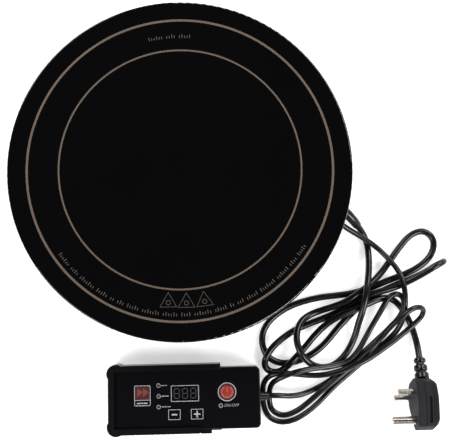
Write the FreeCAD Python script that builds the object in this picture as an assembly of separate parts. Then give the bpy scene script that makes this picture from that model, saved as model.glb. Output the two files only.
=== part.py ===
"""Round drop-in induction hot plate with a wired controller, its mounting bracket and a three-pin plug.

Millimetres, +Z up. The origin is on the floor, in the middle of the box that holds the cooker, the
controller and the bracket. The cooker stands behind (+Y) and the controller lies in front (-Y).
"""
import FreeCAD, Part
import math
import os

os.makedirs("parts", exist_ok=True)
V = FreeCAD.Vector
UP = V(0, 0, 1)

# ---- driving dimensions -------------------------------------------------------------------------
GLASS_R = 144.0
GLASS_T = 4.0
COOKER_H = 70.0
FOOT_H = 8.0
CUTOUT_R = 133.5          # largest radius below the glass, for a 270 mm hole in a table top
WALL = 2.5
SPLIT_Z = 44.0            # joint between the upper and the lower housing
BOWL_R = 128.0            # outer radius of the bowl where its round bottom edge starts
BOWL_EDGE = 14.0
GASKET_T = 1.5

CONTROL_L = 128.0
CONTROL_W = 52.4
CONTROL_H = 19.5
CONTROL_WALL = 2.0
CONTROL_CORNER = 4.0
CENTRES_APART = 193.1     # cooker centre to controller centre
BRACKET_BASE = 3.0
BRACKET_WALL = 2.8
BRACKET_PAD_R = 8.0       # round pads on the bracket's two closed corners
BRACKET_PAD_OUT = 1.2
BRACKET_L = 97.2
SLIDE_GAP = 0.35          # controller to bracket, each side
LIFT_GAP = 0.2            # controller to bracket base

MAINS_D = 6.0
CABLE_D = 5.0
EARTH_PIN_R = 3.53
EARTH_PIN_L = 20.6
LINE_PIN_R = 2.54
LINE_PIN_L = 14.9
LINE_SPACING = 19.0
EARTH_OFFSET = 22.2

# ---- places worked out from them ----------------------------------------------------------------
HALF_SLOT = CONTROL_W / 2 + SLIDE_GAP
BRACKET_HALF_W = HALF_SLOT + BRACKET_WALL
FRONT_REACH = CENTRES_APART + BRACKET_HALF_W + BRACKET_PAD_OUT
COOKER_Y = (FRONT_REACH - GLASS_R) / 2
CONTROL_Y = COOKER_Y - CENTRES_APART
CONTROL_X = -0.4
CONTROL_Z = BRACKET_BASE + LIFT_GAP
GLASS_Z = COOKER_H - GLASS_T
COOKER = V(0, COOKER_Y, 0)
CONTROL = V(CONTROL_X, CONTROL_Y, CONTROL_Z)


# ---- helpers ------------------------------------------------------------------------------------
def save(shape, name):
    """Write one node as a STEP file."""
    shape.exportStep("parts/" + name + ".step")
    print("%-26s %2d solid(s) %10.1f mm3 valid %s" % (name, len(shape.Solids), shape.Volume, shape.isValid()))


def block(x0, x1, y0, y1, z0, z1):
    """A box between two corners."""
    return Part.makeBox(x1 - x0, y1 - y0, z1 - z0, V(x0, y0, z0))


def rod(radius, x, y, z0, z1):
    """An upright cylinder."""
    return Part.makeCylinder(radius, z1 - z0, V(x, y, z0))


def ring(r_in, r_out, z0, z1, x=0.0, y=0.0):
    """An upright tube."""
    return rod(r_out, x, y, z0, z1).cut(rod(r_in, x, y, z0 - 1, z1 + 1))


def turned(points):
    """A solid of revolution about Z from (radius, z) points."""
    outline = Part.makePolygon([V(r, 0, z) for r, z in points] + [V(points[0][0], 0, points[0][1])])
    return Part.Face(outline).revolve(V(0, 0, 0), UP, 360)


def upright_edges(shape):
    """The straight edges that run along Z."""
    found = []
    for edge in shape.Edges:
        if len(edge.Vertexes) == 2:
            run = edge.Vertexes[1].Point - edge.Vertexes[0].Point
            if math.hypot(run.x, run.y) < 1e-6:
                found.append(edge)
    return found


def edges_at(shape, z):
    """The edges that lie wholly at one height."""
    return [e for e in shape.Edges if abs(e.BoundBox.ZMin - z) < 1e-6 and abs(e.BoundBox.ZMax - z) < 1e-6]


def round_block(length, width, z0, z1, corner, x=0.0, y=0.0):
    """A box with round corners, centred on x, y."""
    raw = block(x - length / 2, x + length / 2, y - width / 2, y + width / 2, z0, z1)
    return raw.makeFillet(corner, upright_edges(raw))


def fused(shapes):
    """One solid made of touching pieces."""
    whole = shapes[0].fuse(shapes[1:])
    return whole.removeSplitter()


def around(count, radius, start_deg=0.0):
    """Evenly spaced places on a circle, as (x, y, degrees)."""
    spots = []
    for i in range(count):
        deg = start_deg + 360.0 * i / count
        spots.append((radius * math.cos(math.radians(deg)), radius * math.sin(math.radians(deg)), deg))
    return spots


def screw(head_r, head_h, shank_r, length, x, y, z, point_up):
    """A pan-head screw with a cross recess. z is the underside of its head."""
    head = rod(head_r, x, y, z, z + head_h)
    head = head.makeFillet(head_h * 0.4, edges_at(head, z + head_h))
    slot = block(x - head_r * 0.55, x + head_r * 0.55, y - 0.35, y + 0.35, z + head_h * 0.5, z + head_h + 1)
    cross = block(x - 0.35, x + 0.35, y - head_r * 0.55, y + head_r * 0.55, z + head_h * 0.5, z + head_h + 1)
    body = head.cut(slot).cut(cross).fuse(rod(shank_r, x, y, z - length, z)).removeSplitter()
    if point_up:
        body.rotate(V(x, y, z), V(1, 0, 0), 180)
    return body


# ---- cooker: glass, gasket and housings ---------------------------------------------------------
def glass_plate():
    """Ceramic glass disc with a rounded rim."""
    disc = rod(GLASS_R, 0, 0, GLASS_Z, COOKER_H)
    disc = disc.makeFillet(1.4, edges_at(disc, COOKER_H))
    return disc.makeFillet(0.8, edges_at(disc, GLASS_Z))


def rim_gasket():
    """Foam ring under the glass rim, which rests on the table top."""
    return ring(CUTOUT_R + 1.0, GLASS_R - 2.5, GLASS_Z - GASKET_T, GLASS_Z)


BOSS_SPOTS = around(4, 117.0, 45.0)
COIL_WELL_R = 112.0
LEDGE_Z = 52.0


def upper_housing():
    """Ring-shaped carrier under the glass, with a skirt, a coil ledge and screw bosses."""
    shell = turned([(COIL_WELL_R, GLASS_Z), (COIL_WELL_R, LEDGE_Z + 2), (COIL_WELL_R - 7, LEDGE_Z + 2),
                    (COIL_WELL_R - 7, LEDGE_Z), (COIL_WELL_R + 2, LEDGE_Z), (COIL_WELL_R + 2, GLASS_Z - WALL),
                    (CUTOUT_R - WALL, GLASS_Z - WALL), (CUTOUT_R - WALL, SPLIT_Z), (CUTOUT_R, SPLIT_Z),
                    (CUTOUT_R, GLASS_Z)])
    bosses = [rod(5.0, x, y, SPLIT_Z, GLASS_Z - WALL).cut(rod(COIL_WELL_R + 1, 0, 0, 0, COOKER_H))
              for x, y, _ in BOSS_SPOTS]
    shell = fused([shell] + bosses)
    for x, y, _ in BOSS_SPOTS:
        shell = shell.cut(rod(1.65, x, y, SPLIT_Z - 1, SPLIT_Z + 12))
    return shell


OUTLET_DEG = -14.0
OUTLET_FACE = 125.0       # distance of the flat outlet face from the cooker's axis
OUTLET_Z = 24.0
MAINS_SIDE = 7.0
CABLE_SIDE = -6.5
OUT = V(math.cos(math.radians(OUTLET_DEG)), math.sin(math.radians(OUTLET_DEG)), 0)
ACROSS = V(-OUT.y, OUT.x, 0)
FAN_X = -58.0
FAN_SIZE = 80.0
FAN_Z = 13.5
FAN_H = 15.0
FAN_BORE_R = 38.5
FAN_PITCH = 35.75
FAN_CORNERS = [(FAN_X + sx * FAN_PITCH, sy * FAN_PITCH) for sx in (-1, 1) for sy in (-1, 1)]
BOARD = (-12.0, 92.0, -50.0, 50.0)
BOARD_Z = 18.5
BOARD_T = 1.6
BOARD_TOP = BOARD_Z + BOARD_T
BOARD_HOLES = [(x, y) for x in (BOARD[0] + 5, BOARD[1] - 5) for y in (BOARD[2] + 5, BOARD[3] - 5)]
FLOOR_Z = FOOT_H + WALL


def bowl(offset):
    """The bowl's outer body, or the space inside it when offset is the wall thickness."""
    edge_r = BOWL_R - BOWL_EDGE
    side = BOWL_R - offset
    inner_edge = BOWL_EDGE - offset
    corner_z = FOOT_H + BOWL_EDGE
    middle = V(edge_r + inner_edge * math.sin(math.radians(45)), 0, corner_z - inner_edge * math.cos(math.radians(45)))
    low = V(edge_r, 0, FOOT_H + offset)
    start = V(0, 0, FOOT_H + offset)
    turn = V(side, 0, corner_z)
    top = V(CUTOUT_R - offset, 0, SPLIT_Z)
    axis_top = V(0, 0, SPLIT_Z)
    wire = Part.Wire([Part.LineSegment(start, low).toShape(), Part.Arc(low, middle, turn).toShape(),
                      Part.LineSegment(turn, top).toShape(), Part.LineSegment(top, axis_top).toShape(),
                      Part.LineSegment(axis_top, start).toShape()])
    return Part.Face(wire).revolve(V(0, 0, 0), UP, 360)


def at_outlet(length, width, z0, z1, side=0.0, face=OUTLET_FACE):
    """A box standing on the outlet's flat face, reaching outwards (or inwards when length is negative)."""
    low, high = min(0, length), max(0, length)
    shape = block(face + low, face + high, side - width / 2, side + width / 2, z0, z1)
    shape.rotate(V(0, 0, 0), UP, OUTLET_DEG)
    return shape


def outlet_rod(radius, inner, outer, side):
    """A cylinder along the outlet direction, between two distances from the cooker's axis."""
    foot = OUT * inner + ACROSS * side + V(0, 0, OUTLET_Z)
    return Part.makeCylinder(radius, outer - inner, foot, OUT)


def fan_grille_cuts():
    """Ring slots in the floor under the fan, with spokes left between them."""
    slots = [ring(r, r + 3.4, FOOT_H - 1, FLOOR_Z + 1, FAN_X, 0) for r in (9.0, 15.0, 21.0, 27.0, 33.0)]
    slots = slots[0].multiFuse(slots[1:])
    for _, _, deg in around(6, 1.0, 30.0):
        spoke = block(0, 40, -1.6, 1.6, FOOT_H - 2, FLOOR_Z + 2)
        spoke.rotate(V(0, 0, 0), UP, deg)
        spoke.translate(V(FAN_X, 0, 0))
        slots = slots.cut(spoke)
    return slots


def lower_housing():
    """Bowl with air vents, fan grille, screw posts and a flat cable outlet."""
    shell = bowl(0).cut(bowl(WALL))
    pad = at_outlet(-WALL, 52, FLOOR_Z + 2, 37).common(bowl(0))
    posts = [rod(5.5, x, y, FLOOR_Z - 0.5, SPLIT_Z) for x, y, _ in BOSS_SPOTS]
    posts += [rod(3.5, x, y, FLOOR_Z - 0.5, BOARD_Z) for x, y in BOARD_HOLES]
    posts += [rod(4.2, x, y, FLOOR_Z - 0.5, FAN_Z) for x, y in FAN_CORNERS]
    shell = fused([shell, pad] + [p.common(bowl(0)) for p in posts])
    shell = shell.cut(at_outlet(20, 44, FLOOR_Z + 3, 36))
    shell = shell.cut(outlet_rod(5.0, 110, 140, MAINS_SIDE)).cut(outlet_rod(4.0, 110, 140, CABLE_SIDE))
    for x, y, _ in BOSS_SPOTS:
        shell = shell.cut(rod(4.0, x, y, FOOT_H - 1, SPLIT_Z - 6)).cut(rod(1.9, x, y, SPLIT_Z - 7, SPLIT_Z + 1))
    for x, y in BOARD_HOLES:
        shell = shell.cut(rod(1.45, x, y, FLOOR_Z, BOARD_Z + 1))
    for x, y in FAN_CORNERS:
        shell = shell.cut(rod(1.55, x, y, FLOOR_Z - 1, FAN_Z + 1))
    shell = shell.cut(fan_grille_cuts())
    for group_deg in (62.0, 118.0, 182.0, 242.0, 298.0):
        for step in range(-4, 5):
            slot = block(110, 150, -1.5, 1.5, 25, 39)
            slot.rotate(V(0, 0, 0), UP, group_deg + 3.2 * step)
            shell = shell.cut(slot)
    return shell


def feet():
    """Four rubber feet under the bowl."""
    pads = []
    for x, y, _ in around(4, 98.0, 45.0):
        pad = Part.makeCone(8.0, 9.5, FOOT_H, V(x, y, 0))
        pads.append(pad.makeFillet(1.0, edges_at(pad, 0.0)))
    return Part.makeCompound(pads)


def housing_screws():
    """Four screws from below, through the bowl's posts into the upper housing."""
    return Part.makeCompound([screw(3.5, 2.4, 1.55, 16, x, y, SPLIT_Z - 6, True) for x, y, _ in BOSS_SPOTS])


# ---- cooker: coil stack -------------------------------------------------------------------------
FORMER_Z = LEDGE_Z + 2
COIL_Z = FORMER_Z + 2.5
COIL_H = 3.2
MICA_Z = COIL_Z + COIL_H
MICA_T = 0.6
COIL_R_IN, COIL_R_OUT = 30.0, 92.0


def coil_former():
    """Plastic disc that carries the coil, with a hub for the thermistor and six light windows."""
    disc = rod(COIL_WELL_R - 0.5, 0, 0, FORMER_Z, COIL_Z)
    hub = ring(9.2, 12.0, COIL_Z - 0.5, COIL_Z + COIL_H)
    disc = fused([disc, hub]).cut(rod(3.0, 0, 0, FORMER_Z - 1, COIL_Z + 1))
    for x, y, _ in around(6, 103.5):
        disc = disc.cut(rod(4.0, x, y, FORMER_Z - 1, COIL_Z + 1))
    return disc


def litz_coil():
    """Flat spiral winding: neighbouring turns touch, so it is one disc with a groove between turns."""
    disc = ring(COIL_R_IN, COIL_R_OUT, COIL_Z, COIL_Z + COIL_H)
    turns = 14
    pitch = (COIL_R_OUT - COIL_R_IN) / turns
    for i in range(1, turns):
        r = COIL_R_IN + pitch * i
        disc = disc.cut(ring(r - 0.4, r + 0.4, COIL_Z + COIL_H - 1.0, COIL_Z + COIL_H + 1))
    return disc


def ferrite_bars():
    """Eight flux bars under the coil former."""
    bars = []
    for _, _, deg in around(8, 1.0):
        bar = block(34, 84, -6, 6, FORMER_Z - 4, FORMER_Z)
        bar.rotate(V(0, 0, 0), UP, deg)
        bars.append(bar)
    return Part.makeCompound(bars)


def thermistor():
    """Sprung sensor holder in the coil's hub. Its cap touches the glass."""
    stem = rod(9.0, 0, 0, COIL_Z, COIL_Z + 6)
    cap = rod(6.5, 0, 0, COIL_Z + 6, GLASS_Z)
    return fused([stem, cap])


# ---- cooker: electronics and fan ----------------------------------------------------------------
def main_board():
    """Power circuit board."""
    board = block(BOARD[0], BOARD[1], BOARD[2], BOARD[3], BOARD_Z, BOARD_TOP)
    for x, y in BOARD_HOLES:
        board = board.cut(rod(1.6, x, y, BOARD_Z - 1, BOARD_TOP + 1))
    return board


PACKAGE_H = 5.0
SINK_Z = BOARD_TOP + PACKAGE_H


def heat_sink():
    """Aluminium extrusion with fins along the fan's air flow."""
    pieces = [block(-10, 34, -34, 34, SINK_Z, SINK_Z + 4)]
    for i in range(10):
        y = -34 + i * (68 - 1.8) / 9
        pieces.append(block(-10, 34, y, y + 1.8, SINK_Z + 3, SINK_Z + 20))
    return fused(pieces)


def power_packages():
    """Switching transistor and bridge rectifier, clamped under the heat sink."""
    return Part.makeCompound([block(2, 18, -24, -3, BOARD_TOP, SINK_Z), block(2, 20, 4, 26, BOARD_TOP, SINK_Z)])


def film_capacitors():
    """Resonance and filter capacitors."""
    boxes = []
    for y in (-42, 22):
        raw = block(44, 62, y, y + 20, BOARD_TOP, BOARD_TOP + 20)
        boxes.append(raw.makeFillet(1.0, upright_edges(raw)))
    return Part.makeCompound(boxes)


def choke():
    """Ring-core choke."""
    return Part.makeTorus(11.5, 5.5, V(56, 0, BOARD_TOP + 5.7))


def electrolytic_capacitor():
    """Low-voltage supply capacitor."""
    can = rod(6.5, 80, -26, BOARD_TOP, BOARD_TOP + 21)
    return can.makeFillet(0.8, edges_at(can, BOARD_TOP + 21))


def terminal_block():
    """Mains terminals with three screw wells."""
    body = block(72, 84, 10, 38, BOARD_TOP, BOARD_TOP + 12)
    for i in range(3):
        body = body.cut(rod(2.6, 78, 15 + 9 * i, BOARD_TOP + 5, BOARD_TOP + 13))
    return body


def board_screws():
    """Four screws that hold the power board."""
    return Part.makeCompound([screw(2.8, 1.8, 1.4, 7, x, y, BOARD_TOP, False) for x, y in BOARD_HOLES])


HUB_R = 17.0
STATOR_H = 3.0
BEARING_R_IN = 1.55
SHAFT_R = 1.5
BLADES = 7


def fan_frame():
    """Square fan housing with a bearing tube held by four struts."""
    frame = round_block(FAN_SIZE, FAN_SIZE, FAN_Z, FAN_Z + FAN_H, 5.0, FAN_X, 0)
    frame = frame.cut(rod(FAN_BORE_R, FAN_X, 0, FAN_Z - 1, FAN_Z + FAN_H + 1))
    struts = [rod(15.0, FAN_X, 0, FAN_Z, FAN_Z + STATOR_H), rod(4.0, FAN_X, 0, FAN_Z, FAN_Z + 10)]
    for _, _, deg in around(4, 1.0, 45.0):
        strut = block(10, FAN_BORE_R + 3, -1.5, 1.5, FAN_Z, FAN_Z + 2.4)
        strut.rotate(V(0, 0, 0), UP, deg)
        strut.translate(V(FAN_X, 0, 0))
        struts.append(strut)
    frame = fused([frame] + struts)
    frame = frame.cut(rod(BEARING_R_IN, FAN_X, 0, FAN_Z + 1, FAN_Z + 11))
    for x, y in FAN_CORNERS:
        frame = frame.cut(rod(2.2, x, y, FAN_Z - 1, FAN_Z + FAN_H + 1))
    return frame


def fan_rotor():
    """Cup-shaped hub with a shaft and seven pitched blades."""
    z0, z1 = FAN_Z + 4.0, FAN_Z + FAN_H - 0.6
    cup = rod(HUB_R, FAN_X, 0, z0, z1).cut(rod(HUB_R - 2, FAN_X, 0, z0 - 1, z1 - 2))
    cup = cup.makeFillet(1.0, edges_at(cup, z1)[:1])
    shaft = rod(SHAFT_R, FAN_X, 0, FAN_Z + 1.6, z1 - 1)
    band = ring(HUB_R - 1, FAN_BORE_R - 1.5, z0 + 0.5, z1 - 1.5, FAN_X, 0)
    blades = []
    for _, _, deg in around(BLADES, 1.0):
        blade = block(HUB_R - 1, FAN_BORE_R, -8.5, 8.5, -0.7, 0.7)
        blade.rotate(V(0, 0, 0), V(1, 0, 0), 34)
        blade.translate(V(0, 0, (z0 + z1) / 2))
        blade.rotate(V(0, 0, 0), UP, deg)
        blade.translate(V(FAN_X, 0, 0))
        blades.append(blade.common(band))
    return fused([cup, shaft] + blades)


def fan_screws():
    """Four screws through the fan's corners."""
    return Part.makeCompound([screw(3.6, 2.2, 1.5, FAN_H + 4, x, y, FAN_Z + FAN_H, False) for x, y in FAN_CORNERS])


# ---- cords and their strain reliefs -------------------------------------------------------------
# The mains lead runs from its strain relief on the cooker, in loose loops on the floor, to the plug.
MAINS_ROUTE = [
    (155, -5, 14), (161, -10.5, 6), (165.5, -21, 3), (166, -33, 5), (164.5, -45, 10.5),
    (162, -56.5, 16.5), (159.5, -69, 18.5), (156.5, -81.5, 16), (153, -92.5, 10.5),
    (150.5, -103.5, 5.5), (145.5, -114.5, 3), (138, -124, 3), (128.5, -130, 4), (117.5, -130.5, 7.5),
    (108, -126.5, 12), (100.5, -118, 16), (97, -107.5, 15.5), (98, -97.5, 12.5), (102.5, -89, 7.5),
    (111, -83.5, 4), (121.5, -80, 3.5), (132.5, -77, 7), (144, -72.5, 11), (155.5, -65, 12),
    (167, -57, 8.5), (177.5, -47, 4.5), (186.5, -35.5, 3), (195, -24.5, 3), (203, -15.5, 3),
    (211.5, -11, 3), (219, -11, 3), (224.5, -15.5, 3), (226.5, -22, 3), (224.5, -30.5, 3),
    (217.5, -39, 3), (206.5, -46, 3), (194, -51, 3), (180.5, -55.5, 3), (167, -61, 3), (153, -65, 3),
    (138.5, -67, 3), (124, -68, 3), (110, -70.5, 3), (96, -74.5, 3), (84, -80.5, 3), (73.5, -89, 3),
    (67.5, -99.5, 3), (67.5, -111, 3), (72.5, -121, 3), (82, -126, 3), (93, -126, 3),
    (104.5, -122.5, 3), (115.5, -116.5, 3), (125, -108.5, 3), (133.5, -98.5, 3), (143, -88.5, 3),
    (154, -79, 3), (165.5, -69.5, 3), (178.5, -63.5, 3), (192, -58, 3), (205, -53.5, 3),
    (216.5, -48.5, 3), (225.5, -43, 3), (231, -40, 7), (232, -39, 13.5), (228, -41, 18.5),
    (221, -44.5, 20), (212, -50, 16), (201.5, -55.5, 11.5), (189, -61, 9.5), (175, -64.5, 10),
    (161, -68.5, 9), (148.5, -75, 5.5), (136, -82, 3), (123, -87.5, 3), (109.5, -92, 3), (97, -97, 3.5),
    (86, -103.5, 6), (76.5, -111, 9.5), (70, -119.5, 10), (68.5, -127.5, 6.5), (73, -133, 4),
    (80.5, -134, 5), (88, -129.5, 9.5), (96, -121.5, 10), (105, -112.5, 7.5), (114, -102.5, 5.5),
    (124, -93, 6.5), (136.5, -85.5, 9), (149.5, -80, 10), (162.5, -75.5, 9.5), (174.5, -70.5, 7),
    (185, -71, 4), (192.5, -77.5, 3), (198, -86.5, 3), (202, -96, 3), (204.5, -105.5, 4),
    (206.25, -114.85, 4.9), (206.25, -123.5, 8.05),
]

# The control cable runs from the cooker, in its own loops, into the end of the controller.
CABLE_ROUTE = [
    (135.2, -1, 23), (143.5, -7, 17), (153.5, -12.5, 13), (163, -18, 10.5), (172.5, -24.5, 8),
    (180.5, -32.5, 8), (187.5, -41.5, 11), (192.5, -51.5, 15), (194.5, -63.5, 17.5),
    (194.5, -76.5, 16.5), (193, -89, 13), (188, -100, 7), (179, -109, 3), (168, -117.5, 2.5),
    (157, -126, 2.5), (146, -135, 2.5), (135, -143.5, 2.5), (125, -152.5, 2.5), (115.5, -162, 2.5),
    (105, -170, 2.5), (94, -176, 2.5), (82.5, -178, 2.5), (72, -174, 2.5), (67, -164, 2.5),
    (66.5, -152.5, 2.5), (67.5, -141.5, 5), (74.5, -135, 10.5), (85.5, -134, 13.5), (97, -135.5, 12.5),
    (108.5, -137, 10.5), (120.5, -137, 10), (132, -134.5, 12), (143.5, -130.5, 13.5), (155, -126.5, 13),
    (165.5, -121, 11), (175.5, -114.5, 9.5), (185.5, -108, 9.5), (194.5, -101, 9.5), (203, -94.5, 9),
    (210, -88, 10), (211.5, -81.5, 13.5), (205.5, -79, 18.5), (197, -82, 21), (188.5, -88.5, 19),
    (180.5, -96, 14), (173, -105.5, 9.5), (164, -115.5, 8), (154, -125, 7.5), (142, -133, 8),
    (130.5, -141.5, 8.5), (119, -150, 7.5), (108, -159.5, 5), (97, -168, 3), (84, -172.5, 2.5),
    (73.5, -167, 2.5), (72, -155, 3.5), (73.5, -143.5, 9), (81, -138, 17.5), (93, -133.5, 20.5),
    (106.5, -131, 18), (119.5, -130, 13.5), (132.5, -129, 10), (144, -125.5, 8), (152.5, -117, 6.5),
    (159, -107, 4.5), (165, -97, 4), (171, -87, 7), (176, -78, 10.5), (181, -69.5, 12.5),
    (189, -66.5, 12.5), (195, -72, 11), (194, -82, 9.5), (188, -91.5, 5.5), (178.5, -100.5, 3),
    (168, -109.5, 2.5), (157, -119, 2.5), (146, -127.5, 2.5), (135, -136.5, 2.5), (123.5, -144.5, 2.5),
    (112, -150, 2.5), (100.5, -154, 4.5), (89.5, -154.5, 9), (80, -153.275, 12.5),
    (71.6, -153.275, 12.5),
]


def cord_tube(route, diameter, name):
    """A round cord along straight runs joined by tangent arcs, each as large as its two runs allow."""
    points = [V(*p) for p in route]
    edges = []
    radii = []
    here = points[0]
    for before, corner, after in zip(points, points[1:], points[2:]):
        back = (before - corner).normalize()
        ahead = (after - corner).normalize()
        cut = 0.45 * min((before - corner).Length, (after - corner).Length)
        turn = math.pi - back.getAngle(ahead)
        radius = cut / math.tan(turn / 2)
        radii.append(radius)
        bisector = (back + ahead).normalize()
        centre = corner + bisector * (radius / math.cos(turn / 2))
        start = corner + back * cut
        end = corner + ahead * cut
        edges.append(Part.LineSegment(here, start).toShape())
        edges.append(Part.Arc(start, centre - bisector * radius, end).toShape())
        here = end
    edges.append(Part.LineSegment(here, points[-1]).toShape())
    path = Part.Wire(edges)
    section = Part.Wire([Part.makeCircle(diameter / 2, points[0], points[1] - points[0])])
    tube = path.makePipeShell([section], True, True)
    ideal = math.pi * diameter ** 2 / 4 * path.Length
    print("%s length %.1f, volume %.1f of %.1f, radii %s" %
          (name, path.Length, tube.Volume, ideal, " ".join("%.1f" % r for r in radii)))
    return tube


def sleeve(start, start_dir, end, end_dir, r_start, r_end):
    """A tapered, gently bent rubber sleeve between two places, square to its centre line at both ends."""
    reach = (end - start).Length * 0.38
    centre_line = Part.BezierCurve()
    centre_line.setPoles([start, start + start_dir * reach, end - end_dir * reach, end])
    rings = []
    for i in range(6):
        t = i / 5.0
        spot = centre_line.value(t)
        heading = centre_line.tangent(t)[0]
        radius = r_start + (r_end - r_start) * t
        rings.append(Part.Wire([Part.makeCircle(radius, spot, heading)]))
    return Part.makeLoft(rings, True, False)


def heading(a, b):
    """Unit vector from one route point to the next."""
    return (V(*b) - V(*a)).normalize()


def cooker_relief(side, hole_r, flange_r, root_r, tip_r, route):
    """Strain relief on the cooker: a plug in the wall, a flange on the outlet face and a tapered sleeve."""
    inner = outlet_rod(hole_r, OUTLET_FACE - WALL - 2, OUTLET_FACE, side)
    flange = outlet_rod(flange_r, OUTLET_FACE, OUTLET_FACE + 2, side)
    start = OUT * (OUTLET_FACE + 1.5) + ACROSS * side + V(0, 0, OUTLET_Z)
    end = V(*route[0]) - COOKER
    bent = sleeve(start, OUT, end, heading(route[0], route[1]), root_r, tip_r)
    return inner.fuse([flange, bent]).removeSplitter()


# ---- controller ---------------------------------------------------------------------------------
CONTROL_SPLIT = 9.3       # heights here are above the controller's underside
TOP_Z = CONTROL_H - 0.6   # top of the front case, below the panel sheet
TOP_PLATE_Z = TOP_Z - 2.0
PANEL_T = 0.6
PANEL_MARGIN = 1.6
BOARD2_Z = 8.8
BOARD2_TOP = BOARD2_Z + 1.6
KEY_GAP = 0.3
KEY_PROUD = 0.2
KEY_TRAVEL = 0.4
MODE_KEY = (-37.6, 3.6, 14.4, 17.8)
MINUS_KEY = (-10.3, -13.0, 11.0, 9.2)
PLUS_KEY = (9.2, -13.0, 11.0, 9.2)
POWER_KEY = (35.3, 5.1, 8.0)
WINDOW = (-1.0, 4.7, 23.6, 14.2)
LED_R = 1.5
LED_SPOTS = [(-23.7, 11.9), (-23.7, 2.8), (-23.7, -6.3), (29.7, -6.4)]
CONTROL_SCREWS = [(sx * 57.5, sy * 20.0) for sx in (-1, 1) for sy in (-1, 1)]
SWITCH_SPOTS = [MODE_KEY[:2], MINUS_KEY[:2], PLUS_KEY[:2], POWER_KEY[:2]]
GLAND_Z = CONTROL_SPLIT
END_X = CONTROL_L / 2


def square_key_space(key, grow, z0, z1):
    """The space of a rectangular key, grown on every side."""
    x, y, length, width = key
    return round_block(length + 2 * grow, width + 2 * grow, z0, z1, 1.2 + grow, x, y)


def round_key_space(grow, z0, z1):
    """The space of the round power key, grown all round."""
    x, y, radius = POWER_KEY
    return rod(radius + grow, x, y, z0, z1)


def key_openings(z0, z1):
    """Openings for the four keys."""
    spaces = [square_key_space(k, KEY_GAP, z0, z1) for k in (MODE_KEY, MINUS_KEY, PLUS_KEY)]
    return spaces + [round_key_space(KEY_GAP, z0, z1)]


def gland_rod(radius, x0, x1):
    """A cylinder along the controller's cable axis."""
    return Part.makeCylinder(radius, x1 - x0, V(x0, 0, GLAND_Z), V(1, 0, 0))


def rear_case():
    """Lower half of the controller, with four screw posts."""
    shell = round_block(CONTROL_L, CONTROL_W, 0, CONTROL_SPLIT, CONTROL_CORNER)
    shell = shell.makeFillet(1.2, edges_at(shell, 0.0))
    inside = round_block(CONTROL_L - 2 * CONTROL_WALL, CONTROL_W - 2 * CONTROL_WALL, CONTROL_WALL,
                         CONTROL_SPLIT + 1, CONTROL_CORNER - CONTROL_WALL)
    posts = [rod(3.4, x, y, CONTROL_WALL - 0.5, CONTROL_SPLIT) for x, y in CONTROL_SCREWS]
    shell = fused([shell.cut(inside)] + posts)
    for x, y in CONTROL_SCREWS:
        shell = shell.cut(rod(2.7, x, y, -1, 4.6)).cut(rod(1.25, x, y, 3, CONTROL_SPLIT + 1))
    return shell.cut(gland_rod(3.55, END_X - 5, END_X + 1))


def front_case():
    """Upper half of the controller, with openings for keys, window and lights."""
    shell = round_block(CONTROL_L, CONTROL_W, CONTROL_SPLIT, TOP_Z, CONTROL_CORNER)
    shell = shell.makeFillet(1.0, edges_at(shell, TOP_Z))
    inside = round_block(CONTROL_L - 2 * CONTROL_WALL, CONTROL_W - 2 * CONTROL_WALL, CONTROL_SPLIT - 1,
                         TOP_PLATE_Z, CONTROL_CORNER - CONTROL_WALL)
    bosses = [rod(3.4, x, y, CONTROL_SPLIT, TOP_PLATE_Z + 0.5) for x, y in CONTROL_SCREWS]
    shell = fused([shell.cut(inside)] + bosses)
    for space in key_openings(TOP_PLATE_Z - 1, TOP_Z + 1):
        shell = shell.cut(space)
    x, y, length, width = WINDOW
    shell = shell.cut(round_block(length - 3, width - 3, TOP_PLATE_Z - 1, TOP_Z + 1, 1.0, x, y))
    for x, y in LED_SPOTS:
        shell = shell.cut(rod(LED_R + 0.1, x, y, TOP_PLATE_Z - 1, TOP_Z + 1))
    for x, y in CONTROL_SCREWS:
        shell = shell.cut(rod(1.05, x, y, CONTROL_SPLIT - 1, CONTROL_SPLIT + 6))
    return shell.cut(gland_rod(3.55, END_X - 5, END_X + 1))


def panel_sheet():
    """Printed panel on the controller's face."""
    sheet = round_block(CONTROL_L - 2 * PANEL_MARGIN, CONTROL_W - 2 * PANEL_MARGIN, TOP_Z, TOP_Z + PANEL_T,
                        CONTROL_CORNER - 1)
    for space in key_openings(TOP_Z - 1, TOP_Z + 2):
        sheet = sheet.cut(space)
    x, y, length, width = WINDOW
    sheet = sheet.cut(round_block(length, width, TOP_Z - 1, TOP_Z + 2, 1.0, x, y))
    for x, y in LED_SPOTS:
        sheet = sheet.cut(rod(LED_R + 0.1, x, y, TOP_Z - 1, TOP_Z + 2))
    return sheet


def display_window():
    """Smoked window over the digits."""
    x, y, length, width = WINDOW
    return round_block(length - 0.2, width - 0.2, TOP_Z, TOP_Z + PANEL_T, 0.9, x, y)


def digit_display():
    """Three-digit display on the control board, behind the window."""
    x, y, length, width = WINDOW
    return block(x - length / 2 + 2, x + length / 2 - 2, y - width / 2 + 2, y + width / 2 - 2, BOARD2_TOP, TOP_Z)


def control_board():
    """Circuit board of the controller."""
    return block(-52, 52, -22, 22, BOARD2_Z, BOARD2_TOP)


def board_supports():
    """Two ribs across the rear case that carry the board."""
    return [block(x - 1, x + 1, -20, 20, CONTROL_WALL - 0.5, BOARD2_Z) for x in (-45, 45)]


def tact_switches():
    """One switch under each key."""
    switches = []
    for x, y in SWITCH_SPOTS:
        body = block(x - 3, x + 3, y - 3, y + 3, BOARD2_TOP, BOARD2_TOP + 3.4)
        switches.append(fused([body, rod(1.7, x, y, BOARD2_TOP + 3, KEY_FOOT_Z - KEY_TRAVEL - 0.1)]))
    return Part.makeCompound(switches)


KEY_FOOT_Z = TOP_PLATE_Z - 1.4


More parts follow.
